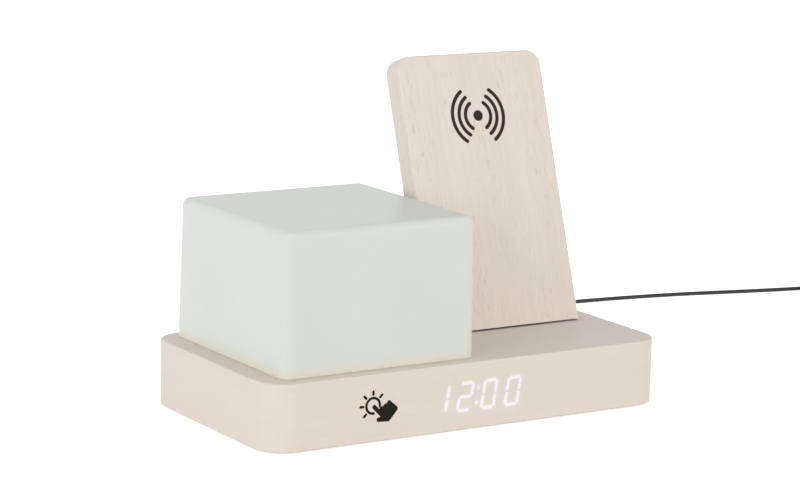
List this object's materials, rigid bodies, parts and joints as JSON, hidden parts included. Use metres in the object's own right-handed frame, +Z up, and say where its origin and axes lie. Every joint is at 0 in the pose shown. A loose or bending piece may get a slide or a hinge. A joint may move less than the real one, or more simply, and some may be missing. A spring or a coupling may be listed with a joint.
{
  "type": "night light alarm clock",
  "caption": "Low wood-grain base with an LED clock in its front, a frosted lamp cube on top and a leaning stand that charges a phone, with its supply cord.",
  "frame": {"origin": "centre of the base's footprint, on the surface that the feet stand on; the cord and its plugs are not counted", "axes": "+X to the right, seen from the front; -Y is the front, with the clock display; +Z up"},
  "size_m": [0.4531, 0.193, 0.1483],
  "materials": {
    "wood_film": "moulding wrapped in pale bleached wood-grain film",
    "frosted_plastic": "frosted, translucent",
    "dark_plastic": "fine moulded texture",
    "pale_plastic": "moulded",
    "black_rubber": "matte",
    "cord_jacket": "soft sheen",
    "circuit_board": "green solder mask",
    "component_plastic": "moulded",
    "steel": "zinc plated",
    "copper": "enamelled copper",
    "ferrite": "matte sintered sheet"
  },
  "bodies": {
    "clock": {"base_housing": "wood_film", "bottom_cover": "dark_plastic", "foot_front_left": "black_rubber", "foot_front_right": "black_rubber", "foot_back_right": "black_rubber", "foot_back_left": "black_rubber", "cover_screw_front_left": "steel", "cover_screw_front_right": "steel", "cover_screw_back_right": "steel", "cover_screw_back_left": "steel", "lamp_shade": "frosted_plastic", "lamp_tray": "pale_plastic", "lamp_board": "pale_plastic", "tray_screw_front_left": "steel", "tray_screw_front_right": "steel", "tray_screw_back_right": "steel", "tray_screw_back_left": "steel", "stand_shell": "wood_film", "stand_cover": "wood_film", "stand_screw_left": "steel", "stand_screw_right": "steel", "charging_coil": "copper", "ferrite_sheet": "ferrite", "charger_board": "circuit_board", "stand_bracket": "steel", "stand_lead": "cord_jacket", "bracket_screw_leg_left": "steel", "bracket_screw_leg_right": "steel", "bracket_screw_foot_left": "steel", "bracket_screw_foot_right": "steel", "display_reflector": "pale_plastic", "display_board": "circuit_board", "display_screw_left": "steel", "display_screw_right": "steel", "touch_pad": "copper", "main_board": "circuit_board", "board_screw_front_left": "steel", "board_screw_back_right": "steel", "cell_holder": "component_plastic", "coin_cell": "steel", "buzzer": "component_plastic", "rear_panel": "dark_plastic", "power_socket": "steel", "set_switch": "component_plastic", "down_switch": "component_plastic", "up_switch": "component_plastic", "inlet_plug_shell": "steel", "inlet_plug_grip": "cord_jacket", "cord_run": "cord_jacket", "cord_coil": "cord_jacket", "cord_tie": "black_rubber", "far_plug_shell": "steel", "far_plug_grip": "cord_jacket"},
    "set_key": {"set_button": "dark_plastic", "set_plunger": "black_rubber"},
    "down_key": {"down_button": "dark_plastic", "down_plunger": "black_rubber"},
    "up_key": {"up_button": "dark_plastic", "up_plunger": "black_rubber"}
  },
  "joints": [
    {"name": "set_press", "type": "slide", "parent": "clock", "child": "set_key", "axis": [0, -1, 0], "range_m": [0, 0.0005], "stiffness_N_per_m": 3000},
    {"name": "down_press", "type": "slide", "parent": "clock", "child": "down_key", "axis": [0, -1, 0], "range_m": [0, 0.0005], "stiffness_N_per_m": 3000},
    {"name": "up_press", "type": "slide", "parent": "clock", "child": "up_key", "axis": [0, -1, 0], "range_m": [0, 0.0005], "stiffness_N_per_m": 3000}
  ]
}
